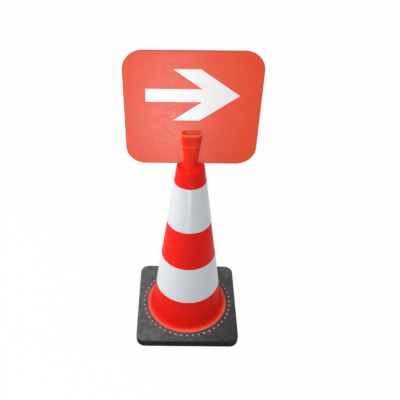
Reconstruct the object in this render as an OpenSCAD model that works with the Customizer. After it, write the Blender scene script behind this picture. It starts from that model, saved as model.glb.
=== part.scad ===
// Traffic cone with a slotted head that carries a lift-out direction panel.
// Millimetres, +Z up. The origin is the middle of the base's underside on the floor.
// The panel's face looks towards -Y and its arrow points towards +X.

/* [Base] */
// Side of the square base
base_w = 272; // [220:1:340]
// Thickness of the base
base_t = 25; // [18:1:36]
// Radius of the base's four corners, seen from above
base_corner_r = 24; // [12:1:40]
// Radius along the base's top edge
base_edge_r = 5; // [2:0.5:8]
// Small radius along the base's bottom edge
base_foot_r = 1.5; // [0.5:0.5:3]

/* [Cone] */
// Height of the cone's shoulder above the floor
cone_h = 500; // [450:1:600]
// Outside diameter of the cone at the shoulder
cone_top_d = 64; // [58:1:80]
// Wall of the cone
cone_wall = 3; // [2:0.25:4]
// Radius round the shoulder's outer edge
shoulder_edge_r = 4; // [1:0.5:6]

/* [Foot] */
// Distance from the base's side to the edge of the lip round the foot
lip_margin = 26; // [21:0.5:40]
// Width of the lip, from its edge in to the cone's side
lip_w = 15; // [12:0.5:22]
// Height of the lip above the base's top
lip_rise = 2; // [1:0.25:4]
// Radius along the lip's outer edge
lip_edge_r = 1.2; // [0.5:0.1:1.8]
// Hollow radius between the cone's side and the lip
foot_fillet_r = 9; // [5:0.5:11]
// Width of the flange under the base, from the lip's edge outwards
flange_w = 18; // [14:0.5:20]
// Thickness of the flange
flange_t = 4; // [3:0.25:6]
// Height of the flange's underside above the floor
flange_lift = 2; // [1:0.25:4]
// Gap round the lip and the flange in the base
base_clear = 0.25; // [0.1:0.05:0.5]

/* [Head] */
// Height of the head above the shoulder
head_h = 88; // [70:1:110]
// Outside diameter of the head's waist
waist_d = 30; // [26:0.5:40]
// Outside width of the head's rim along the panel
rim_w = 47; // [42:0.5:56]
// Outside depth of the head's rim across the panel
rim_depth = 30; // [26:0.5:38]
// Radius of the rim's corners, seen from above
rim_corner_r = 12; // [8:0.5:12]
// Wall of the head
head_wall = 3; // [2:0.25:4]
// Height of the moulded bead above the shoulder
bead_z = 58; // [40:1:70]
// Width of the moulded bead along the head
bead_w = 4; // [2:0.5:6]
// Height of the bead above the head's side
bead_proud = 0.6; // [0.3:0.1:1]
// Height of the panel slot's floor above the shoulder
slot_rise = 6; // [2:0.5:12]
// Gap on each side of the panel in the slot
slot_clear = 0.3; // [0.2:0.05:0.6]

/* [Lock plugs] */
// Number of plugs that lock the flange to the base
plug_count = 48; // [24:1:60]
// Diameter of a plug
plug_d = 5.4; // [4:0.2:6]
// Distance from the lip's edge to the middles of the plugs
plug_gap = 9.5; // [6:0.5:12]
// Height of a plug's crown above the base's top
plug_proud = 0.6; // [0.3:0.1:1.2]
// Bevel round a plug's crown
plug_bevel = 0.5; // [0.2:0.1:1]
// Gap round a plug in its hole
plug_clear = 0.1; // [0.05:0.05:0.2]

/* [Sleeves] */
// Distance of the upper sleeve's top edge below the shoulder
upper_sleeve_drop = 43; // [20:1:70]
// Height of the upper sleeve
upper_sleeve_h = 121; // [80:1:150]
// Distance of the lower sleeve's bottom edge above the base's top
lower_sleeve_rise = 91; // [40:1:110]
// Height of the lower sleeve
lower_sleeve_h = 108; // [80:1:130]
// Thickness of a sleeve
sleeve_t = 0.8; // [0.4:0.1:1.2]
// Gap between a sleeve and the cone's side
sleeve_clear = 0.1; // [0.05:0.05:0.3]

/* [Panel] */
// Width of the panel
panel_w = 288; // [250:1:360]
// Height of the panel
panel_h = 272; // [240:1:330]
// Thickness of the panel
panel_t = 4; // [2.5:0.25:6]
// Radius of the panel's corners
panel_corner_r = 43; // [10:1:60]

/* [Arrow] */
// Length of the arrow from its tail to its tip
arrow_l = 196; // [160:1:230]
// Height of the arrow's head across its barbs
arrow_head_w = 119; // [90:1:136]
// Height of the arrow's shaft
arrow_shaft_w = 30; // [18:1:44]
// Length of the flat end of a barb
arrow_barb_l = 57; // [36:1:80]
// Distance from the arrow's tip back to the flat ends of its barbs
arrow_point_l = 82; // [60:1:100]
// Height of the arrow's middle line above the panel's middle
arrow_rise = 37; // [20:1:50]
// Thickness of the arrow film
arrow_t = 0.3; // [0.2:0.05:0.5]

/* [Hidden] */
$fn = 96;
head_fn = 48;
arc_steps = 8;
slice_t = 0.01;
over = 1;

// Levels, from the floor up
flange_top = flange_lift + flange_t;
lip_top = base_t + lip_rise;
rim_z = cone_h + head_h;
slot_floor = cone_h + slot_rise;

// Radii of the foot, all worked out from the base's width
lip_r = base_w / 2 - lip_margin;
foot_r = lip_r - lip_w;
flange_r = lip_r + flange_w;
plug_ring_r = lip_r + plug_gap;
plug_r = plug_d / 2;

// The cone's side is a straight line from the base's top to the shoulder
top_r = cone_top_d / 2;
side_slope = (foot_r - top_r) / (cone_h - base_t);
side_angle = atan(side_slope);
function side_r(z) = foot_r - side_slope * (z - base_t);
function inner_r(z) = side_r(z) - cone_wall / cos(side_angle);

// The shoulder's edge is round, and a hollow sweep leads from it up to the waist
waist_r = waist_d / 2;
edge_z = cone_h - shoulder_edge_r;
edge_x = side_r(edge_z) - shoulder_edge_r / cos(side_angle);
sweep_r = edge_x - waist_r;
waist_z = cone_h + sweep_r;

// The head is round at the waist and widens along the panel up to its rim
rim_round = head_wall / 2;
function head_share(z) = (z - waist_z) / (rim_z - waist_z);

// Points along an arc round [x, y], from one angle to another
function arc(x, y, r, from, to) =
    [for (i = [0 : arc_steps]) let (a = from + (to - from) * i / arc_steps) [x + r * cos(a), y + r * sin(a)]];

// Outside of the foot: flange, skirt through the base, lip, and the hollow that leads into the side
fillet_end_z = lip_top + foot_fillet_r * (1 - sin(side_angle));
fillet_x = side_r(fillet_end_z) + foot_fillet_r * cos(side_angle);
foot_outline = concat(
    [[flange_r, flange_lift], [flange_r, flange_top], [lip_r, flange_top]],
    arc(lip_r - lip_edge_r, lip_top - lip_edge_r, lip_edge_r, 0, 90),
    arc(fillet_x, lip_top + foot_fillet_r, foot_fillet_r, 270, 180 + side_angle)
);

// Outside of the shoulder, from its round edge up to the waist
shoulder_outline = concat(
    arc(edge_x, edge_z, shoulder_edge_r, side_angle, 90),
    arc(edge_x, waist_z, sweep_r, 270, 180)
);

// Inside, from the waist down to the open foot
ceiling_z = cone_h - cone_wall;
lip_under = lip_top - cone_wall;
inside_outline = [
    [waist_r - head_wall, waist_z],
    [waist_r - head_wall, ceiling_z],
    [inner_r(ceiling_z), ceiling_z],
    [inner_r(lip_under), lip_under],
    [lip_r - cone_wall, lip_under],
    [lip_r - cone_wall, flange_lift]
];

module cone_shell() {
    color("orangered") difference() {
        union() {
            rotate_extrude()
                polygon(concat(foot_outline, shoulder_outline, inside_outline));
            head();
        }
        panel_slot();
    }
}

// Thin level slice of the head at height z, its edge moved out by grow
module head_slice(z, grow = 0) {
    share = head_share(z);
    core_x = share * (rim_w / 2 - rim_corner_r);
    core_y = share * (rim_depth / 2 - rim_corner_r);
    corner_r = waist_r + share * (rim_corner_r - waist_r) + grow;
    translate([0, 0, z])
        linear_extrude(height = slice_t)
            for (x = [-core_x, core_x], y = [-core_y, core_y])
                translate([x, y])
                    circle(r = corner_r, $fn = head_fn);
}

// Flared head with a round rim and a moulded bead, hollow from the rim down to the waist
module head() {
    bead_mid = cone_h + bead_z;
    difference() {
        union() {
            hull() {
                head_slice(waist_z - slice_t);
                for (turn = [0 : 30 : 90])
                    head_slice(rim_z - slice_t - rim_round * (1 - sin(turn)), rim_round * (cos(turn) - 1));
            }
            hull() {
                head_slice(bead_mid - bead_w / 2);
                head_slice(bead_mid, bead_proud);
                head_slice(bead_mid + bead_w / 2);
            }
        }
        hull() {
            head_slice(waist_z - over, -head_wall);
            head_slice(rim_z + over, -head_wall);
        }
    }
}

// Gap across the head, open at the rim, that the panel drops into
module panel_slot() {
    slot_w = panel_t + 2 * slot_clear;
    translate([-lip_r, -slot_w / 2, slot_floor])
        cube([2 * lip_r, slot_w, rim_z - slot_floor + over]);
}

// Outline of the base's edge, from the bottom to the top, at a distance x from the middle
function base_edge(x) = concat(
    arc(x - base_foot_r, base_foot_r, base_foot_r, 270, 360),
    arc(x - base_edge_r, base_t - base_edge_r, base_edge_r, 0, 90)
);

module base_block() {
    straight = base_w - 2 * base_corner_r;
    half = base_edge(base_w / 2);
    for (turn = [0, 90])
        rotate([90, 0, turn])
            linear_extrude(height = straight, center = true)
                polygon(concat(half, [for (i = [len(half) - 1 : -1 : 0]) [-half[i][0], half[i][1]]]));
    for (x = [-straight / 2, straight / 2], y = [-straight / 2, straight / 2])
        translate([x, y, 0])
            rotate_extrude()
                polygon(concat([[0, 0]], base_edge(base_corner_r), [[0, base_t]]));
}

module base_plate() {
    color("#3c3c40") difference() {
        base_block();
        translate([0, 0, -over])
            cylinder(r = lip_r + base_clear, h = base_t + 2 * over);
        translate([0, 0, -over])
            cylinder(r = flange_r + base_clear, h = flange_top + over);
        plug_ring()
            translate([0, 0, flange_top - over])
                cylinder(r = plug_r + plug_clear, h = base_t);
    }
}

// Places a copy of its child at each plug
module plug_ring() {
    for (i = [0 : plug_count - 1])
        rotate([0, 0, 360 * i / plug_count])
            translate([plug_ring_r, 0, 0])
                children();
}

module lock_plugs() {
    crown_z = base_t + plug_proud;
    color("coral") plug_ring()
        rotate_extrude($fn = 32)
            polygon([
                [0, flange_top],
                [plug_r, flange_top],
                [plug_r, crown_z - plug_bevel],
                [plug_r - plug_bevel, crown_z],
                [0, crown_z]
            ]);
}

// Band of film round the cone's side between two levels
module sleeve(z0, z1) {
    gap = sleeve_clear / cos(side_angle);
    skin = gap + sleeve_t / cos(side_angle);
    color("whitesmoke") rotate_extrude()
        polygon([
            [side_r(z0) + gap, z0],
            [side_r(z0) + skin, z0],
            [side_r(z1) + skin, z1],
            [side_r(z1) + gap, z1]
        ]);
}

module upper_sleeve() {
    top = cone_h - upper_sleeve_drop;
    sleeve(top - upper_sleeve_h, top);
}

module lower_sleeve() {
    bottom = base_t + lower_sleeve_rise;
    sleeve(bottom, bottom + lower_sleeve_h);
}

// Stands a flat outline upright across the head, with its front face at y
module upright(front_y, thickness) {
    translate([0, front_y, slot_floor + panel_h / 2])
        rotate([90, 0, 0])
            mirror([0, 0, 1])
                linear_extrude(height = thickness)
                    children();
}

module panel_outline() {
    inner_w = panel_w - 2 * panel_corner_r;
    inner_h = panel_h - 2 * panel_corner_r;
    square([panel_w, inner_h], center = true);
    square([inner_w, panel_h], center = true);
    for (x = [-inner_w / 2, inner_w / 2], y = [-inner_h / 2, inner_h / 2])
        translate([x, y])
            circle(r = panel_corner_r);
}

module sign_panel() {
    color("tomato") upright(-panel_t / 2, panel_t)
        panel_outline();
}

// The inner edges of the barbs run parallel to the outer ones and end on the shaft
module arrow_outline() {
    tip = arrow_l / 2;
    barb = arrow_head_w / 2;
    shaft = arrow_shaft_w / 2;
    barb_front = tip - arrow_point_l;
    barb_back = barb_front - arrow_barb_l;
    crotch = barb_back + arrow_point_l * (barb - shaft) / barb;
    upper = [[-tip, shaft], [crotch, shaft], [barb_back, barb], [barb_front, barb]];
    lower = [for (i = [len(upper) - 1 : -1 : 0]) [upper[i][0], -upper[i][1]]];
    translate([0, arrow_rise])
        polygon(concat(upper, [[tip, 0]], lower));
}

module arrow_film() {
    color("white") upright(-panel_t / 2 - arrow_t, arrow_t)
        arrow_outline();
}

cone_shell();
base_plate();
lock_plugs();
upper_sleeve();
lower_sleeve();
sign_panel();
arrow_film();
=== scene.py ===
import math

import bmesh
import bpy
from mathutils import Matrix, Vector


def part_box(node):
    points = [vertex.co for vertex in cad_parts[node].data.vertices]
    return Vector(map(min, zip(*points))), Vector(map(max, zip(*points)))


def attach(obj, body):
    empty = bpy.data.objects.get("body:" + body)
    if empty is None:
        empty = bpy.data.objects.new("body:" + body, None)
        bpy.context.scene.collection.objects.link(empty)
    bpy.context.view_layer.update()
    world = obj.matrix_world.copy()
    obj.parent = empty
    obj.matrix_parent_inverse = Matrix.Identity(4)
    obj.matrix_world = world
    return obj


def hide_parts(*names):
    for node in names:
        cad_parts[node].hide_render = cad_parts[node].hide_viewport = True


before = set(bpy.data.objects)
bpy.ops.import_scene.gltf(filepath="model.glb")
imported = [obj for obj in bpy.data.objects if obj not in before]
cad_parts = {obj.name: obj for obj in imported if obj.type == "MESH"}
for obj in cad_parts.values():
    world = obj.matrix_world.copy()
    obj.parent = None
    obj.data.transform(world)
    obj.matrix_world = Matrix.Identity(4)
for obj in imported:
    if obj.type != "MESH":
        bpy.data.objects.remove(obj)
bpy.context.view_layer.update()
print("frame loaded:", len(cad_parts), "nodes")

# heights that several pieces share, read from the frame
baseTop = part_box("base_plate")[1].z
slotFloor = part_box("sign_panel")[0].z
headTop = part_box("cone_shell")[1].z

axisX, axisY, axisZ = 0, 1, 2
closeBy = 0.00001  # metres: places nearer to each other than this count as one
offAxis = 0.000001  # metres: corners nearer to an axis than this stay on it
smoothAngle = 35  # degrees: sharper edges stay crisp
plasticIor = 1.5


def clearSelection():
    if bpy.context.object and bpy.context.object.mode != "OBJECT":
        bpy.ops.object.mode_set(mode="OBJECT")
    bpy.ops.object.select_all(action="DESELECT")


def takeUp(piece, mode):  # makes one object the only one that operators act on
    clearSelection()
    piece.select_set(True)
    bpy.context.view_layer.objects.active = piece
    bpy.ops.object.mode_set(mode=mode)


def applyPlace(piece):  # puts an object's place, turn and size into its mesh
    takeUp(piece, "OBJECT")
    bpy.ops.object.transform_apply(location=True, rotation=True, scale=True)


def nameNew(name):
    piece = bpy.context.object
    piece.name = piece.data.name = name
    return piece


def pick(kind, test):  # in edit mode, selects what passes the test and nothing else
    bpy.ops.mesh.select_mode(type=kind)
    bpy.ops.mesh.select_all(action="DESELECT")
    mesh = bmesh.from_edit_mesh(bpy.context.object.data)
    items = {"VERT": mesh.verts, "EDGE": mesh.edges, "FACE": mesh.faces}[kind]
    for item in items:
        if test(item):
            item.select_set(True)
    mesh.select_flush_mode()
    bmesh.update_edit_mesh(bpy.context.object.data)


def near(a, b):
    return abs(a - b) < closeBy


def runsAlong(edge, axis):  # an edge that lies along one axis
    step = (edge.verts[1].co - edge.verts[0].co).normalized()
    return abs(step[axis]) > 0.999


def liesAt(edge, axis, place):  # an edge with both ends at one place on an axis
    return all(near(corner.co[axis], place) for corner in edge.verts)


def bevelEdges(test, size, segments):  # in edit mode, rounds the edges that pass the test
    pick("EDGE", test)
    bpy.ops.mesh.bevel(offset=size, segments=segments, profile=0.5, affect="EDGES")


def arc(centreR, centreZ, radius, fromDegrees, toDegrees, steps):
    made = []
    for i in range(steps + 1):
        turn = math.radians(fromDegrees + (toDegrees - fromDegrees) * i / steps)
        made.append((centreR + radius * math.cos(turn), centreZ + radius * math.sin(turn)))
    return made


def traceLoop(name, points):  # draws a closed line from point to point and leaves it in edit mode
    clearSelection()
    bpy.ops.mesh.primitive_plane_add(size=0.001, location=points[0])  # merged to one point below
    piece = nameNew(name)
    bpy.ops.object.mode_set(mode="EDIT")
    bpy.ops.mesh.select_mode(type="VERT")
    bpy.ops.mesh.select_all(action="SELECT")
    bpy.ops.mesh.merge(type="CENTER")
    for here, there in zip(points, points[1:]):
        step = Vector(there) - Vector(here)
        bpy.ops.mesh.extrude_vertices_move(TRANSFORM_OT_translate={"value": step})
    last = len(points) - 1
    pick("VERT", lambda corner: corner.index in (0, last))
    bpy.ops.mesh.edge_face_add()
    return piece


def spinRound(piece, steps):  # turns a traced outline into a closed ring about the cone's axis
    bpy.ops.mesh.select_all(action="SELECT")
    bpy.ops.mesh.spin(steps=steps, angle=math.tau, center=(0, 0, 0), axis=(0, 0, 1))
    bpy.ops.mesh.select_all(action="SELECT")
    bpy.ops.mesh.remove_doubles(threshold=0.000002)
    bpy.ops.mesh.normals_make_consistent(inside=False)
    applyPlace(piece)
    takeUp(piece, "EDIT")


def block(name, size, centre):  # a cube at its size and place, left in edit mode
    clearSelection()
    bpy.ops.mesh.primitive_cube_add(size=1, location=centre)
    piece = nameNew(name)
    piece.scale = size
    applyPlace(piece)
    takeUp(piece, "EDIT")
    return piece


def drill(name, radius, low, high, place=(0, 0), sides=128):  # a round bar, as a cutter or a start
    clearSelection()
    middle = (place[0], place[1], (low + high) / 2)
    bpy.ops.mesh.primitive_cylinder_add(vertices=sides, radius=radius, depth=high - low, location=middle)
    return nameNew(name)


def ringOfCopies(piece, count):  # copies one piece round the axis and joins the copies to it
    made = [piece]
    for i in range(1, count):
        takeUp(piece, "OBJECT")
        bpy.ops.object.duplicate(linked=False)
        bpy.ops.transform.rotate(value=math.tau * i / count, orient_axis="Z", center_override=(0, 0, 0))
        made.append(bpy.context.object)
    takeUp(piece, "OBJECT")
    for copy in made:
        copy.select_set(True)
    bpy.ops.object.join()
    applyPlace(piece)
    return piece


def applyModifier(piece, kind, **settings):
    takeUp(piece, "OBJECT")
    bpy.ops.object.modifier_add(type=kind)
    modifier = piece.modifiers[-1]
    for name, value in settings.items():
        setattr(modifier, name, value)
    bpy.ops.object.modifier_apply(modifier=modifier.name)


def cutAway(piece, cutter):
    applyModifier(piece, "BOOLEAN", operation="DIFFERENCE", solver="EXACT", object=cutter)
    bpy.data.objects.remove(cutter)


def settle(piece, body, node, finish):  # finishes a piece and ties it to the frame
    applyPlace(piece)
    bpy.ops.object.shade_smooth_by_angle(angle=math.radians(smoothAngle))
    applyModifier(piece, "WEIGHTED_NORMAL", keep_sharp=True)
    piece.data.materials.clear()
    piece.data.materials.append(finish)
    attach(piece, body)
    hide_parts(node)
    print("piece made:", piece.name, len(piece.data.polygons), "faces")


# the camera, where the photograph was taken from
view = {
    "place": (-0.02988, -1.02320, 1.25068),
    "turn": 0.174,  # degrees about the upright
    "down": 39.888,  # degrees below level
    "tilt": 0.441,
    "lens": 50, "sensor": 36, "nearest": 0.01,
    "shiftRight": 0.06,  # the photograph is cut from the right of a wider one
}


def placeCamera():
    clearSelection()
    bpy.ops.object.camera_add()
    camera = bpy.context.object
    camera.name = "camera"
    camera.data.lens = view["lens"]
    camera.data.sensor_width = view["sensor"]
    camera.data.shift_x = view["shiftRight"]
    camera.data.clip_start = view["nearest"]
    camera.matrix_world = (
        Matrix.Translation(view["place"])
        @ Matrix.Rotation(math.radians(view["turn"]), 4, "Z")
        @ Matrix.Rotation(math.radians(90 - view["down"]), 4, "X")
        @ Matrix.Rotation(math.radians(view["tilt"]), 4, "Z")
    )
    bpy.context.scene.camera = camera
    print("camera placed")


def addNode(tree, kind, inputs=None, **settings):
    node = tree.nodes.new(kind)
    for name, value in settings.items():
        setattr(node, name, value)
    for name, value in (inputs or {}).items():
        if isinstance(value, bpy.types.NodeSocket):
            tree.links.new(value, node.inputs[name])
        else:
            node.inputs[name].default_value = value
    return node


def sums(tree, operation, *values):  # one Math node
    return addNode(tree, "ShaderNodeMath", dict(enumerate(values)), operation=operation).outputs[0]


def spread(tree, value, fromLow, fromHigh, toLow, toHigh):  # one Map Range node, clamped
    inputs = {"Value": value, "From Min": fromLow, "From Max": fromHigh, "To Min": toLow, "To Max": toHigh}
    return addNode(tree, "ShaderNodeMapRange", inputs).outputs["Result"]


def noise(tree, place, scale, detail):  # one Noise Texture node
    inputs = {"Vector": place, "Scale": scale, "Detail": detail}
    return addNode(tree, "ShaderNodeTexNoise", inputs).outputs["Fac"]


def stretched(tree, place, scales):  # places drawn out by another scale on each axis
    return addNode(tree, "ShaderNodeVectorMath", {0: place, 1: scales}, operation="MULTIPLY").outputs[0]


def axesOf(tree, place):
    return addNode(tree, "ShaderNodeSeparateXYZ", {0: place}).outputs


def blendColours(tree, amount, first, second):
    sockets = {"Factor": amount, 6: first, 7: second}  # 6 and 7 are the Mix node's two colours
    return addNode(tree, "ShaderNodeMix", sockets, data_type="RGBA").outputs[2]


def cornerReach(tree, across, up, insetX, insetY):  # distance from the inner box of a rounded outline
    squares = []
    for value, inset in ((across, insetX), (up, insetY)):
        past = sums(tree, "SUBTRACT", sums(tree, "ABSOLUTE", value), inset)
        squares.append(sums(tree, "POWER", sums(tree, "MAXIMUM", past, 0), 2))
    return sums(tree, "SQRT", sums(tree, "ADD", *squares))


def seenDirectly(tree):  # 1 for rays that come from the camera, a gloss or a clear surface
    path = addNode(tree, "ShaderNodeLightPath").outputs
    seen = sums(tree, "MAXIMUM", path["Is Camera Ray"], path["Is Glossy Ray"])
    return sums(tree, "MAXIMUM", seen, path["Is Transmission Ray"])


studio = {
    "white": (1, 1, 1, 1),
    "floorSize": 14,
    "floorDrop": 0.0004,  # keeps the floor just clear of the base
    "floorColour": (0.88, 0.88, 0.88, 1),
    "floorLift": 0.97,  # how much of the floor is plain white to the camera
    "air": 0.37,  # even light from all round
    "airColour": (0.90, 0.95, 1.0, 1),
    "lamps": {  # lightsMatt is off for a lamp that only glosses show
        "keyLamp": {
            "place": (-2.10, 0.00, 1.40), "aim": (0, 0, 0.35), "size": (1.0, 1.0),
            "watts": 30, "colour": (1.0, 0.97, 0.92), "lightsMatt": True,
        },
        "frontLamp": {
            "place": (-0.85, -1.35, 2.35), "aim": (0, 0, 0.45), "size": (1.0, 1.0),
            "watts": 30, "colour": (1.0, 0.98, 0.95), "lightsMatt": True,
        },
        "rightLamp": {
            "place": (0.75, 0.15, 0.95), "aim": (0, 0, 0.45), "size": (0.4, 0.4),
            "watts": 2.1, "colour": (1.0, 0.98, 0.96), "lightsMatt": True,
        },
        "floorSheen": {
            "place": (-0.07, -1.30, 0.01), "aim": (-0.07, -1.30, 1.0), "size": (0.16, 1.1),
            "watts": 18, "colour": (0.75, 0.95, 1.0), "lightsMatt": False,
        },
    },
}


def layFloor():
    clearSelection()
    bpy.ops.mesh.primitive_plane_add(size=studio["floorSize"], location=(0, 0, -studio["floorDrop"]))
    floor = nameNew("floor")
    finish = bpy.data.materials.new("floorWhite")
    finish.use_nodes = True
    tree = finish.node_tree
    tree.nodes.clear()
    matt = addNode(tree, "ShaderNodeBsdfDiffuse", {"Color": studio["floorColour"]})
    white = addNode(tree, "ShaderNodeEmission", {"Color": studio["white"], "Strength": 1})
    lift = sums(tree, "MULTIPLY", seenDirectly(tree), studio["floorLift"])
    mixed = addNode(tree, "ShaderNodeMixShader", {0: lift, 1: matt.outputs[0], 2: white.outputs[0]})
    addNode(tree, "ShaderNodeOutputMaterial", {"Surface": mixed.outputs[0]})
    floor.data.materials.append(finish)


def fillAir():
    world = bpy.data.worlds.new("studioAir")
    world.use_nodes = True
    tree = world.node_tree
    tree.nodes.clear()
    air = addNode(tree, "ShaderNodeBackground", {"Color": studio["airColour"], "Strength": studio["air"]})
    white = addNode(tree, "ShaderNodeBackground", {"Color": studio["white"], "Strength": 1})
    seen = seenDirectly(tree)
    mixed = addNode(tree, "ShaderNodeMixShader", {0: seen, 1: air.outputs[0], 2: white.outputs[0]})
    addNode(tree, "ShaderNodeOutputWorld", {"Surface": mixed.outputs[0]})
    bpy.context.scene.world = world


def hangLamps():
    for name, look in studio["lamps"].items():
        clearSelection()
        bpy.ops.object.light_add(type="AREA", location=look["place"])
        lamp = nameNew(name)
        lamp.data.shape = "RECTANGLE"
        lamp.data.size, lamp.data.size_y = look["size"]
        lamp.data.energy = look["watts"]
        lamp.data.color = look["colour"]
        towards = Vector(look["aim"]) - Vector(look["place"])
        lamp.rotation_euler = towards.to_track_quat("-Z", "Y").to_euler()
        lamp.visible_diffuse = look["lightsMatt"]
        lamp.visible_camera = False


def lightStudio():
    bpy.context.scene.view_settings.view_transform = "Standard"
    layFloor()
    fillAir()
    hangLamps()
    print("studio lit")


def newGroup(name, inputs, outputs):
    tree = bpy.data.node_groups.new(name, "ShaderNodeTree")
    for label, kind in inputs.items():
        tree.interface.new_socket(name=label, in_out="INPUT", socket_type=kind)
    for label in outputs:
        tree.interface.new_socket(name=label, in_out="OUTPUT", socket_type="NodeSocketFloat")
    return tree, addNode(tree, "NodeGroupInput").outputs


def useGroup(tree, group, inputs):
    return addNode(tree, "ShaderNodeGroup", inputs, node_tree=group).outputs


def makeMouldGrain():  # fine skin of a moulding or sheet, and its slow drift of tone
    inputs = {"Place": "NodeSocketVector", "Grain": "NodeSocketFloat", "Mottle": "NodeSocketFloat"}
    tree, given = newGroup("mouldGrain", inputs, ["Height", "Tone"])
    height = noise(tree, given["Place"], given["Grain"], detail=3)
    drift = noise(tree, given["Place"], given["Mottle"], detail=4)
    tone = spread(tree, drift, 0.3, 0.7, 0, 1)
    addNode(tree, "NodeGroupOutput", {"Height": height, "Tone": tone})
    return tree


rubLook = {"patchScale": 22, "lineFade": (0.62, 0.72), "patchFade": (0.50, 0.68)}


def makeRubMarks():  # sparse thin rubs from stacking and handling, drawn out along one axis
    inputs = {"Place": "NodeSocketVector", "Along": "NodeSocketVector"}
    tree, given = newGroup("rubMarks", inputs, ["Rub"])
    lines = noise(tree, stretched(tree, given["Place"], given["Along"]), scale=1, detail=2)
    patches = noise(tree, given["Place"], rubLook["patchScale"], detail=1)
    thin = spread(tree, lines, *rubLook["lineFade"], 0, 1)
    where = spread(tree, patches, *rubLook["patchFade"], 0, 1)
    addNode(tree, "NodeGroupOutput", {"Rub": sums(tree, "MULTIPLY", thin, where)})
    return tree


cellLook = {"wallFade": (0.43, 0.49), "toneFade": (0, 0.45)}  # in cells, from a cell's middle outwards


def makeCellFilm():  # honeycomb of sealed cells in reflective film, from flat places on the film
    inputs = {"Across": "NodeSocketFloat", "Up": "NodeSocketFloat", "Cell": "NodeSocketFloat"}
    tree, given = newGroup("cellFilm", inputs, ["Wall", "Tone"])
    across = sums(tree, "DIVIDE", given["Across"], given["Cell"])
    up = sums(tree, "DIVIDE", given["Up"], given["Cell"])
    rowStep = math.sqrt(3)
    reaches = []
    for shift in (0, 0.5):  # two offset grids of cell middles; the nearer one is the cell
        x = sums(tree, "FLOORED_MODULO", sums(tree, "ADD", across, shift), 1)
        y = sums(tree, "FLOORED_MODULO", sums(tree, "ADD", up, shift * rowStep), rowStep)
        x = sums(tree, "ABSOLUTE", sums(tree, "SUBTRACT", x, 0.5))
        y = sums(tree, "ABSOLUTE", sums(tree, "SUBTRACT", y, rowStep / 2))
        slanted = sums(tree, "ADD", sums(tree, "MULTIPLY", x, 0.5), sums(tree, "MULTIPLY", y, rowStep / 2))
        reaches.append(sums(tree, "MAXIMUM", x, slanted))
    reach = sums(tree, "MINIMUM", *reaches)
    wall = spread(tree, reach, *cellLook["wallFade"], 0, 1)
    tone = spread(tree, reach, *cellLook["toneFade"], 1, 0)
    addNode(tree, "NodeGroupOutput", {"Wall": wall, "Tone": tone})
    return tree


mouldGrain = makeMouldGrain()
rubMarks = makeRubMarks()
cellFilm = makeCellFilm()
print("shared effects ready")


def newFinish(name, look):  # a material with its even values set on the shader itself, and its skin
    finish = bpy.data.materials.new(name)
    finish.use_nodes = True
    tree = finish.node_tree
    even = tree.nodes["Principled BSDF"].inputs
    even["IOR"].default_value = plasticIor
    even["Specular IOR Level"].default_value = look["gloss"]
    if "glossTint" in look:
        even["Specular Tint"].default_value = look["glossTint"]
    place = addNode(tree, "ShaderNodeTexCoord").outputs["Object"]
    skin = useGroup(tree, mouldGrain, {"Place": place, "Grain": look["grain"], "Mottle": look["mottle"]})
    return finish, tree, place, skin


def closeFinish(finish, look, colour, roughness, height):  # feeds the shader what changes over the surface
    tree = finish.node_tree
    shader = tree.nodes["Principled BSDF"]
    strength, depth = look["bump"]
    bump = addNode(tree, "ShaderNodeBump", {"Height": height, "Strength": strength, "Distance": depth})
    tree.links.new(colour, shader.inputs["Base Color"])
    tree.links.new(roughness, shader.inputs["Roughness"])
    tree.links.new(bump.outputs["Normal"], shader.inputs["Normal"])
    return finish


coneShell = {
    "steps": 128,
    "flangeRadius": 0.128, "flangeThick": 0.004,
    "lipRadius": 0.110, "lipTop": baseTop + 0.002, "lipEdge": 0.0012,
    "footRadius": 0.095, "topRadius": 0.032, "shoulder": 0.500,  # the side's straight line
    "footFillet": 0.009, "shoulderEdge": 0.004, "wall": 0.003,
    "waistRadius": 0.015, "rimWidth": 0.047, "rimDepth": 0.030, "rimCorner": 0.012, "rimRound": 0.0022,
    "bead": 0.558, "beadWidth": 0.007, "beadProud": 0.0011, "beadSteps": 8,
    "slotHalf": 0.0023,
    # heights of the plain rings on the side, the neck, the rim's foot and the bore
    "sideLevels": [0.07, 0.13, 0.19, 0.25, 0.31, 0.37, 0.43, 0.47],
    "neckLevels": [0.525, 0.538, 0.548], "rimFoot": 0.572, "boreLevels": [0.573, 0.559, 0.545, 0.530],
    # rubbed colours the real rub marks and also the painted highlight round the foot's lip
    "red": (0.83, 0.013, 0.008, 1), "redDeep": (0.78, 0.010, 0.007, 1), "rubbed": (0.78, 0.150, 0.085, 1),
    # paintedLightOrange is painted light: it lifts the shade inside the mouth and makes painted highlights
    # on the bead and the rim
    "headRed": (0.91, 0.030, 0.011, 1), "paintedLightOrange": (0.90, 0.170, 0.075, 1),
    "gloss": 0.08, "glossTint": (1, 0.55, 0.35, 1), "roughness": (0.58, 0.48), "bump": (0.18, 0.0002),
    "grain": 1100, "mottle": 11, "rubsAlong": (420, 420, 26), "rubShare": 0.2,
    "headFade": (0.490, 0.530), "headShare": 0.8,
    "mouthWall": (0.0012, 0.0022), "mouthFade": (0.530, 0.560),  # depth under the skin, then height
    "lipFade": (0.0990, 0.1060), "lipRise": (0.0240, 0.0262), "lipHighlightShare": 0.9,  # radius, then height
    "beadCrest": 0.0005, "beadHighlightShare": 0.4,
    "rimFade": (headTop - 0.0050, headTop - 0.0018), "rimHighlightShare": 0.85,
}


def sideRadius(z):  # the cone's outer side at a height
    c = coneShell
    return c["footRadius"] + (c["topRadius"] - c["footRadius"]) * (z - baseTop) / (c["shoulder"] - baseTop)


sideLean = math.atan((coneShell["footRadius"] - coneShell["topRadius"]) / (coneShell["shoulder"] - baseTop))


def offSide(z, distance):  # a point that stands off the side, outwards, measured square to it
    return (sideRadius(z) + distance / math.cos(sideLean), z)


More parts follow.
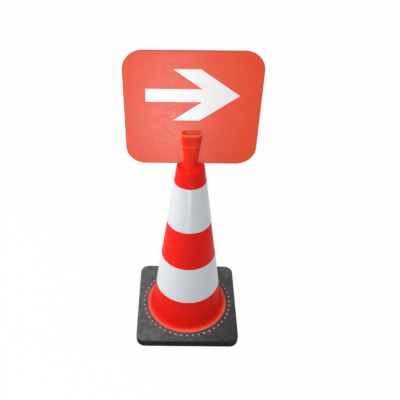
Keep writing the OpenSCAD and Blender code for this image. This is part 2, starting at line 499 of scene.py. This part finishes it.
# the rounded edge of the shoulder, and the sweep from it up to the waist
edgeZ = coneShell["shoulder"] - coneShell["shoulderEdge"]
edgeR = offSide(edgeZ, -coneShell["shoulderEdge"])[0]
sweep = edgeR - coneShell["waistRadius"]
waistZ = coneShell["shoulder"] + sweep


def atLevel(outline, level):  # adds the points where a closed outline crosses a height
    made = []
    for (r, z), (nextR, nextZ) in zip(outline, outline[1:] + outline[:1]):
        made.append((r, z))
        if (z - level) * (nextZ - level) < 0 and not near(z, level) and not near(nextZ, level):
            share = (level - z) / (nextZ - z)
            made.append((r + (nextR - r) * share, level))
    return made


def coneOutside(under):  # from the flange's edge up to the top of the rim and over it
    c = coneShell
    lean = math.degrees(sideLean)
    filletZ = c["lipTop"] + c["footFillet"]
    filletR = offSide(filletZ, c["footFillet"])[0]
    made = [(c["flangeRadius"], under), (c["flangeRadius"], under + c["flangeThick"])]
    made += [(c["lipRadius"], under + c["flangeThick"])]
    made += arc(c["lipRadius"] - c["lipEdge"], c["lipTop"] - c["lipEdge"], c["lipEdge"], 0, 90, steps=5)
    made += arc(filletR, filletZ, c["footFillet"], 270, 180 + lean, steps=12)
    made += [offSide(z, 0) for z in c["sideLevels"]]
    made += arc(edgeR, edgeZ, c["shoulderEdge"], lean, 90, steps=8)
    made += arc(edgeR, waistZ, sweep, 267, 180, steps=16)  # the point at 270 ends the arc before
    made += [(c["waistRadius"], z) for z in c["neckLevels"]]
    for i in range(c["beadSteps"] + 1):  # the bead, a low half wave round the head
        share = i / c["beadSteps"]
        z = c["bead"] + (share - 0.5) * c["beadWidth"]
        made.append((c["waistRadius"] + c["beadProud"] * math.sin(math.pi * share), z))
    made += [(c["waistRadius"], c["rimFoot"])]
    made += arc(c["waistRadius"] - c["rimRound"], headTop - c["rimRound"], c["rimRound"], 0, 180, steps=12)
    return made


def coneInside(under):  # down the bore and the inner side to the flange's underside
    c = coneShell
    boreR = c["waistRadius"] - c["wall"]
    ceiling = c["shoulder"] - c["wall"]
    lipUnder = c["lipTop"] - c["wall"]
    made = [(boreR, z) for z in c["boreLevels"] + [waistZ, ceiling]]
    made += [offSide(ceiling, -c["wall"])]
    made += [offSide(z, -c["wall"]) for z in c["sideLevels"][-2::-1] + [lipUnder]]
    made += [(c["lipRadius"] - c["wall"], lipUnder), (c["lipRadius"] - c["wall"], under)]
    return made


def slideCorners(level, axis, step):  # moves the two sides of a level apart along one axis
    for side in (1, -1):
        pick("VERT", lambda corner: near(corner.co.z, level) and corner.co[axis] * side > offAxis)
        shift = [0, 0, 0]
        shift[axis] = step * side
        bpy.ops.transform.translate(value=shift)


def flareHead(outline):  # widens the round head, level by level, into a rim with four corners
    c = coneShell
    rings = [(r, z) for r, z in outline if z > waistZ + closeBy]
    shares = {z: (z - waistZ) / (headTop - waistZ) for r, z in rings}
    for r, z in rings:
        tighter = (c["waistRadius"] - c["rimCorner"]) * shares[z]
        pick("VERT", lambda corner: near(corner.co.z, z) and near(corner.co.xy.length, r))
        bpy.ops.transform.resize(value=((r - tighter) / r, (r - tighter) / r, 1), center_override=(0, 0, z))
    levels = []
    for z in shares:
        if not any(near(z, level) for level in levels):
            levels.append(z)
    for level in levels:
        slideCorners(level, axisX, shares[level] * (c["rimWidth"] / 2 - c["rimCorner"]))
        slideCorners(level, axisY, shares[level] * (c["rimDepth"] / 2 - c["rimCorner"]))


def makeConeShell():
    half = coneShell["slotHalf"]
    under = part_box("cone_shell")[0].z
    outline = atLevel(coneOutside(under) + coneInside(under), slotFloor)
    piece = traceLoop("coneShell", [(r, 0, z) for r, z in outline])
    spinRound(piece, coneShell["steps"])
    flareHead(outline)
    for side in (half, -half):  # two straight cuts through the head
        pick("FACE", lambda face: face.calc_center_median().z > slotFloor)
        bpy.ops.mesh.bisect(plane_co=(0, side, 0), plane_no=(0, 1, 0), threshold=0.000005)
    pick("FACE", lambda face: face.calc_center_median().z > slotFloor
         and abs(face.calc_center_median().y) < half)
    bpy.ops.mesh.delete(type="FACE")
    for end in (1, -1):
        for side in (half, -half):  # the slot's walls, then its floor
            pick("EDGE", lambda edge: edge.is_boundary and liesAt(edge, axisY, side)
                 and all(corner.co.x * end > 0 for corner in edge.verts))
            bpy.ops.mesh.edge_face_add()
        pick("EDGE", lambda edge: edge.is_boundary and liesAt(edge, axisZ, slotFloor)
             and all(corner.co.x * end > 0 for corner in edge.verts))
        bpy.ops.mesh.edge_face_add()
    bpy.ops.mesh.select_all(action="SELECT")
    bpy.ops.mesh.normals_make_consistent(inside=False)
    return piece


def conePvc():
    c = coneShell
    finish, tree, place, skin = newFinish("conePvc", c)
    axes = axesOf(tree, place)
    colour = blendColours(tree, skin["Tone"], c["redDeep"], c["red"])
    # the head has bleached a little; the inside of its mouth gets painted light that lifts its shade
    bleached = spread(tree, axes["Z"], *c["headFade"], 0, c["headShare"])
    colour = blendColours(tree, bleached, colour, c["headRed"])
    flare = spread(tree, axes["Z"], waistZ, headTop, 0, 1)
    insetX = sums(tree, "MULTIPLY", flare, c["rimWidth"] / 2 - c["rimCorner"])
    insetY = sums(tree, "MULTIPLY", flare, c["rimDepth"] / 2 - c["rimCorner"])
    reach = cornerReach(tree, axes["X"], axes["Y"], insetX, insetY)
    tighter = sums(tree, "MULTIPLY", flare, c["waistRadius"] - c["rimCorner"])
    skinReach = sums(tree, "SUBTRACT", c["waistRadius"], tighter)
    mouthInsideLight = spread(tree, sums(tree, "SUBTRACT", skinReach, reach), *c["mouthWall"], 0, 1)
    mouthInsideLight = sums(tree, "MULTIPLY", mouthInsideLight, spread(tree, axes["Z"], *c["mouthFade"], 0, 1))
    # the bead, the rim and the lip get painted highlights, and the sides real rub marks
    fromBead = sums(tree, "ABSOLUTE", sums(tree, "SUBTRACT", axes["Z"], c["bead"]))
    beadHighlight = spread(tree, fromBead, c["beadCrest"], c["beadWidth"] / 2, c["beadHighlightShare"], 0)
    rimHighlight = spread(tree, axes["Z"], *c["rimFade"], 0, c["rimHighlightShare"])
    # painted light: the lifted shade in the mouth and the highlights on the bead and the rim
    pale = sums(tree, "MAXIMUM", sums(tree, "MAXIMUM", mouthInsideLight, beadHighlight), rimHighlight)
    colour = blendColours(tree, pale, colour, c["paintedLightOrange"])
    # a painted highlight round the foot's lip, and real rub marks, both in the rubbed colour
    away = cornerReach(tree, axes["X"], axes["Y"], 0, 0)
    lipHighlight = spread(tree, away, *c["lipFade"], 0, c["lipHighlightShare"])
    lipHighlight = sums(tree, "MULTIPLY", lipHighlight, spread(tree, axes["Z"], *c["lipRise"], 0, 1))
    rubs = useGroup(tree, rubMarks, {"Place": place, "Along": c["rubsAlong"]})
    rubsAndLipHighlight = sums(tree, "MAXIMUM", lipHighlight, sums(tree, "MULTIPLY", rubs["Rub"], c["rubShare"]))
    colour = blendColours(tree, rubsAndLipHighlight, colour, c["rubbed"])
    roughness = spread(tree, skin["Tone"], 0, 1, *c["roughness"])
    return closeFinish(finish, c, colour, roughness, skin["Height"])


lockPlugs = {
    "count": 48, "ring": 0.1195, "radius": 0.0027, "sides": 20,
    "crown": 0.0007, "dimple": 0.0014, "dimpleDepth": 0.0002,
    "orange": (0.26, 0.035, 0.030, 1), "orangePale": (0.62, 0.44, 0.44, 1),
    "gloss": 0.3, "roughness": (0.45, 0.55), "bump": (0.15, 0.0001),
    "grain": 1500, "mottle": 60,
    "paleFade": (0.0020, 0.0029), "paleShare": (0.75, 1),
}


def makeLockPlugs():
    p = lockPlugs
    low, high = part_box("lock_plugs")
    piece = drill("lockPlugs", p["radius"], low.z, high.z, (p["ring"], 0), p["sides"])
    applyPlace(piece)
    takeUp(piece, "EDIT")
    bevelEdges(lambda edge: liesAt(edge, axisZ, high.z), p["crown"], segments=3)
    pick("FACE", lambda face: face.normal.z > 0.99)
    bpy.ops.mesh.inset(thickness=p["radius"] - p["crown"] - p["dimple"] / 2)
    bpy.ops.transform.translate(value=(0, 0, -p["dimpleDepth"]))
    return ringOfCopies(piece, p["count"])


def plugPvc():
    p = lockPlugs
    finish, tree, place, skin = newFinish("plugPvc", p)
    axes = axesOf(tree, place)
    # each plug is paler at its middle: the distance from the nearest plug's middle
    turn = sums(tree, "MULTIPLY", sums(tree, "ARCTAN2", axes["Y"], axes["X"]), p["count"] / math.tau)
    aside = sums(tree, "SUBTRACT", turn, sums(tree, "ROUND", turn))
    aside = sums(tree, "MULTIPLY", aside, math.tau / p["count"] * p["ring"])
    along = sums(tree, "SUBTRACT", cornerReach(tree, axes["X"], axes["Y"], 0, 0), p["ring"])
    pale = spread(tree, cornerReach(tree, aside, along, 0, 0), *p["paleFade"], 1, 0)
    pale = sums(tree, "MULTIPLY", pale, spread(tree, skin["Tone"], 0, 1, *p["paleShare"]))
    colour = blendColours(tree, pale, p["orange"], p["orangePale"])
    roughness = spread(tree, skin["Tone"], 0, 1, *p["roughness"])
    return closeFinish(finish, p, colour, roughness, skin["Height"])


basePlate = {
    "cornerRadius": 0.024, "topEdge": 0.005, "footEdge": 0.0015,
    "holeRadius": 0.11025, "recessRadius": 0.12825, "recessTop": 0.006,
    "plugHole": 0.0028, "plugHoleEdge": 0.0005,
    "drillPast": 0.01, "plugDrillPast": 0.002,  # how far the cutters stand out of the plate
    # dustAndSheen greys the top face: dust, and a painted sheen
    "rubber": (0.009, 0.009, 0.010, 1), "crumb": (0.04, 0.04, 0.043, 1), "dustAndSheen": (0.145, 0.149, 0.158, 1),
    "gloss": 0.08, "roughness": (0.58, 0.70), "bump": (0.35, 0.0004),
    "grain": 620, "mottle": 70,
    "crumbScale": 520, "crumbFade": (0.86, 0.98), "crumbShare": 0.8, "crumbHeight": 0.6,
    "dustAndSheenFull": 0.0008, "dustAndSheenShare": (0.50, 1.0), "cornerFade": (0.02, 0.24),
    "shadedCornerShare": 0.27,  # painted shade: the top's grey at the front right, as a share of that elsewhere
}


def makeBasePlate():
    b = basePlate
    ring, hole = lockPlugs["ring"], b["plugHole"]
    low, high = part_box("base_plate")
    piece = block("basePlate", high - low, (low + high) / 2)
    bevelEdges(lambda edge: runsAlong(edge, axisZ), b["cornerRadius"], segments=12)
    bevelEdges(lambda edge: liesAt(edge, axisZ, high.z), b["topEdge"], segments=6)
    bevelEdges(lambda edge: liesAt(edge, axisZ, low.z), b["footEdge"], segments=3)
    past, plugPast = b["drillPast"], b["plugDrillPast"]
    cutAway(piece, drill("footHole", b["holeRadius"], -past, high.z + past))
    cutAway(piece, drill("flangeRecess", b["recessRadius"], -past, b["recessTop"]))
    oneHole = drill("plugHoles", hole, b["recessTop"] - plugPast, high.z + plugPast,
                    (ring, 0), lockPlugs["sides"])
    cutAway(piece, ringOfCopies(oneHole, lockPlugs["count"]))
    takeUp(piece, "EDIT")
    nearest, furthest = ring - hole * 1.2, ring + hole * 1.2  # a band that takes in the plug holes
    bevelEdges(lambda edge: liesAt(edge, axisZ, high.z) and len(edge.link_faces) == 2
               and edge.calc_face_angle(0) > 1  # radians, so only sharp edges
               and all(nearest < corner.co.xy.length < furthest for corner in edge.verts),
               b["plugHoleEdge"], segments=2)
    return piece


def baseRubber():
    b = basePlate
    finish, tree, place, skin = newFinish("baseRubber", b)
    axes = axesOf(tree, place)
    crumbs = addNode(tree, "ShaderNodeTexVoronoi", {"Vector": place, "Scale": b["crumbScale"]}).outputs
    fleck = addNode(tree, "ShaderNodeSeparateColor", {"Color": crumbs["Color"]}).outputs[0]
    fleck = spread(tree, fleck, *b["crumbFade"], 0, b["crumbShare"])
    colour = blendColours(tree, fleck, b["rubber"], b["crumb"])
    # dust and a painted sheen grey the top face and leave the sides black
    onTop = spread(tree, axes["Z"], baseTop - b["topEdge"], baseTop - b["dustAndSheenFull"], 0, 1)
    # painted shade: the top is darker towards the front right
    toCorner = sums(tree, "SUBTRACT", axes["X"], axes["Y"])
    onTop = sums(tree, "MULTIPLY", onTop, spread(tree, toCorner, *b["cornerFade"], 1, b["shadedCornerShare"]))
    dustAndSheenMask = sums(tree, "MULTIPLY", onTop, spread(tree, skin["Tone"], 0, 1, *b["dustAndSheenShare"]))
    colour = blendColours(tree, dustAndSheenMask, colour, b["dustAndSheen"])
    roughness = spread(tree, skin["Tone"], 0, 1, *b["roughness"])
    height = sums(tree, "ADD", skin["Height"], sums(tree, "MULTIPLY", crumbs["Distance"], b["crumbHeight"]))
    return closeFinish(finish, b, colour, roughness, height)


def reflectiveFilm(name, look, layFlat):  # white film of sealed cells; layFlat gives places on the flat film
    finish, tree, place, skin = newFinish(name, look)
    across, up = layFlat(tree, axesOf(tree, place))
    cells = useGroup(tree, cellFilm, {"Across": across, "Up": up, "Cell": look["cell"]})
    colour = blendColours(tree, cells["Tone"], look["white"], look["whiteBright"])
    wall = sums(tree, "MULTIPLY", cells["Wall"], look["wallShare"])
    colour = blendColours(tree, wall, colour, look["wallWhite"])
    roughness = spread(tree, skin["Tone"], 0, 1, *look["roughness"])
    height = sums(tree, "ADD", sums(tree, "MULTIPLY", cells["Wall"], look["wallHeight"]), skin["Height"])
    return closeFinish(finish, look, colour, roughness, height)


sleeves = {
    "steps": 128, "rows": 4, "standOff": 0.0001, "thick": 0.0008, "edge": 0.0003,
    "lapColumns": 4, "lapProud": 0.00025,  # where the film's end laps over its start, at the back
    "white": (0.62, 0.645, 0.69, 1), "whiteBright": (0.68, 0.705, 0.74, 1),
    "cell": 0.0042, "wallWhite": (0.55, 0.57, 0.61, 1), "wallShare": 0.5, "wallHeight": 0.8,
    "gloss": 0.3, "roughness": (0.30, 0.38), "bump": (0.12, 0.0002),
    "grain": 1600, "mottle": 9,
}


def makeSleeve(name, node):
    s = sleeves
    low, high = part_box(node)
    inner, edge = s["standOff"], s["edge"]
    outer = inner + s["thick"]
    soft = edge * 0.3  # the middle of the film's rounded edge
    rise = (high.z - low.z - 2 * edge) / s["rows"]
    outline = [offSide(low.z, inner), offSide(low.z, outer - edge), offSide(low.z + soft, outer - soft)]
    outline += [offSide(low.z + edge + rise * i, outer) for i in range(s["rows"])]
    outline += [offSide(high.z - edge, outer), offSide(high.z - soft, outer - soft)]
    outline += [offSide(high.z, outer - edge), offSide(high.z, inner)]
    piece = traceLoop(name, [(r, 0, z) for r, z in outline])
    spinRound(piece, s["steps"])
    reach = math.tau / s["steps"] * s["lapColumns"] / 2

    def onLap(face):
        middle = face.calc_center_median()
        outward = face.normal.xy.dot(middle.xy.normalized()) > 0.9
        return outward and abs(math.atan2(middle.x, middle.y)) < reach

    pick("FACE", onLap)
    bpy.ops.mesh.extrude_region_shrink_fatten(TRANSFORM_OT_shrink_fatten={"value": s["lapProud"]})
    return piece


def unwrapSleeve(tree, axes):  # places on the film as it lay before it was wrapped round the cone
    tip = baseTop + coneShell["footRadius"] / math.tan(sideLean)
    away = sums(tree, "DIVIDE", sums(tree, "SUBTRACT", tip, axes["Z"]), math.cos(sideLean))
    front = sums(tree, "MULTIPLY", axes["Y"], -1)
    turn = sums(tree, "MULTIPLY", sums(tree, "ARCTAN2", axes["X"], front), math.sin(sideLean))
    across = sums(tree, "MULTIPLY", away, sums(tree, "SINE", turn))
    up = sums(tree, "MULTIPLY", away, sums(tree, "COSINE", turn))
    return across, up


signPanel = {
    "cornerRadius": 0.043, "edge": 0.0008,
    "red": (0.94, 0.070, 0.012, 1), "redDeep": (0.90, 0.062, 0.010, 1),
    "gloss": 0.2, "roughness": (0.29, 0.36), "roughFade": (0.35, 0.65), "bump": (0.15, 0.0002),
    "grain": 260, "mottle": 18,
    "rubbed": (0.93, 0.18, 0.12, 1), "rubsAlong": (60, 60, 500), "rubShare": 0.05,
    # edgeShade is painted shade along the sheet's edge
    "edgeShade": (0.36, 0.060, 0.045, 1), "edgeShadeShare": 0.55,
    "edgeShadeReach": 0.0026, "edgeShadeFull": 0.0004,  # in from the sawn outline
    "mouthLightPale": (0.97, 0.190, 0.085, 1), "mouthLightShare": (0.45, 1),  # painted light where the head holds it, lifting the shade in its mouth
    "heldAcross": (0.010, 0.018), "heldUp": (headTop + 0.003, headTop + 0.012),
    "heldStreaks": (420, 60, 14), "streakFade": (0.40, 0.60),
}


def makeSignPanel():
    p = signPanel
    low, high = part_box("sign_panel")
    piece = block("signPanel", high - low, (low + high) / 2)
    bevelEdges(lambda edge: runsAlong(edge, axisY), p["cornerRadius"], segments=18)
    for face in (low.y, high.y):
        bevelEdges(lambda edge: liesAt(edge, axisY, face), p["edge"], segments=3)
    return piece


def panelPvc():
    p = signPanel
    low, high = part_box("sign_panel")
    middle, half = (low + high) / 2, (high - low) / 2
    finish, tree, place, skin = newFinish("panelPvc", p)
    axes = axesOf(tree, place)
    rubs = useGroup(tree, rubMarks, {"Place": place, "Along": p["rubsAlong"]})
    colour = blendColours(tree, skin["Tone"], p["redDeep"], p["red"])
    colour = blendColours(tree, sums(tree, "MULTIPLY", rubs["Rub"], p["rubShare"]), colour, p["rubbed"])
    # painted light where the sheet goes into the head, lifting the shade in its mouth, in upright streaks
    panelMouthLight = spread(tree, sums(tree, "ABSOLUTE", axes["X"]), *p["heldAcross"], 1, 0)
    panelMouthLight = sums(tree, "MULTIPLY", panelMouthLight, spread(tree, axes["Z"], *p["heldUp"], 1, 0))
    streaks = noise(tree, stretched(tree, place, p["heldStreaks"]), scale=1, detail=2)
    panelMouthLight = sums(tree, "MULTIPLY", panelMouthLight, spread(tree, streaks, *p["streakFade"], *p["mouthLightShare"]))
    colour = blendColours(tree, panelMouthLight, colour, p["mouthLightPale"])
    # painted shade along the edge, by how far inside the rounded outline a place on the sheet lies
    radius = p["cornerRadius"]
    up = sums(tree, "SUBTRACT", axes["Z"], middle.z)
    reach = cornerReach(tree, axes["X"], up, half.x - radius, half.z - radius)
    edgeShadeMask = spread(tree, reach, radius - p["edgeShadeReach"], radius - p["edgeShadeFull"], 0, p["edgeShadeShare"])
    colour = blendColours(tree, edgeShadeMask, colour, p["edgeShade"])
    roughness = spread(tree, skin["Height"], *p["roughFade"], *p["roughness"])
    return closeFinish(finish, p, colour, roughness, skin["Height"])


arrowFilm = {
    "shaftHalf": 0.015, "barbLength": 0.057, "pointLength": 0.082, "edge": 0.0001,
    "white": (0.96, 0.90, 0.905, 1), "whiteBright": (0.97, 0.92, 0.925, 1),
    "cell": 0.0042, "wallWhite": (0.88, 0.85, 0.855, 1), "wallShare": 0.4, "wallHeight": 0.8,
    "gloss": 0.3, "roughness": (0.28, 0.33), "bump": (0.10, 0.0002),
    "grain": 1600, "mottle": 12,
}


def makeArrowFilm():
    a = arrowFilm
    low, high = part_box("arrow_film")
    middle, barb, shaft = (low.z + high.z) / 2, (high.z - low.z) / 2, a["shaftHalf"]
    front = high.x - a["pointLength"]
    back = front - a["barbLength"]
    crotch = back + (barb - shaft) * a["pointLength"] / barb
    upper = [(low.x, shaft), (crotch, shaft), (back, barb), (front, barb)]
    outline = upper + [(high.x, 0)] + [(x, -z) for x, z in reversed(upper)]
    piece = traceLoop("arrowFilm", [(x, high.y, middle + z) for x, z in outline])
    bpy.ops.mesh.select_all(action="SELECT")
    bpy.ops.mesh.edge_face_add()
    bpy.ops.mesh.extrude_region_move(TRANSFORM_OT_translate={"value": (0, low.y - high.y, 0)})
    applyPlace(piece)
    takeUp(piece, "EDIT")
    bpy.ops.mesh.select_all(action="SELECT")
    bpy.ops.mesh.normals_make_consistent(inside=False)
    bevelEdges(lambda edge: liesAt(edge, axisY, low.y), a["edge"], segments=2)
    return piece


def layArrow(tree, axes):  # the arrow's film is flat already
    return axes["X"], axes["Z"]


placeCamera()
lightStudio()
settle(makeConeShell(), "cone", "cone_shell", conePvc())
settle(makeBasePlate(), "cone", "base_plate", baseRubber())
settle(makeLockPlugs(), "cone", "lock_plugs", plugPvc())
sleeveFilm = reflectiveFilm("sleeveFilm", sleeves, unwrapSleeve)
settle(makeSleeve("upperSleeve", "upper_sleeve"), "cone", "upper_sleeve", sleeveFilm)
settle(makeSleeve("lowerSleeve", "lower_sleeve"), "cone", "lower_sleeve", sleeveFilm)
settle(makeSignPanel(), "sign", "sign_panel", panelPvc())
arrowWhite = reflectiveFilm("arrowWhite", arrowFilm, layArrow)
settle(makeArrowFilm(), "sign", "arrow_film", arrowWhite)

clearSelection()
bpy.context.view_layer.update()
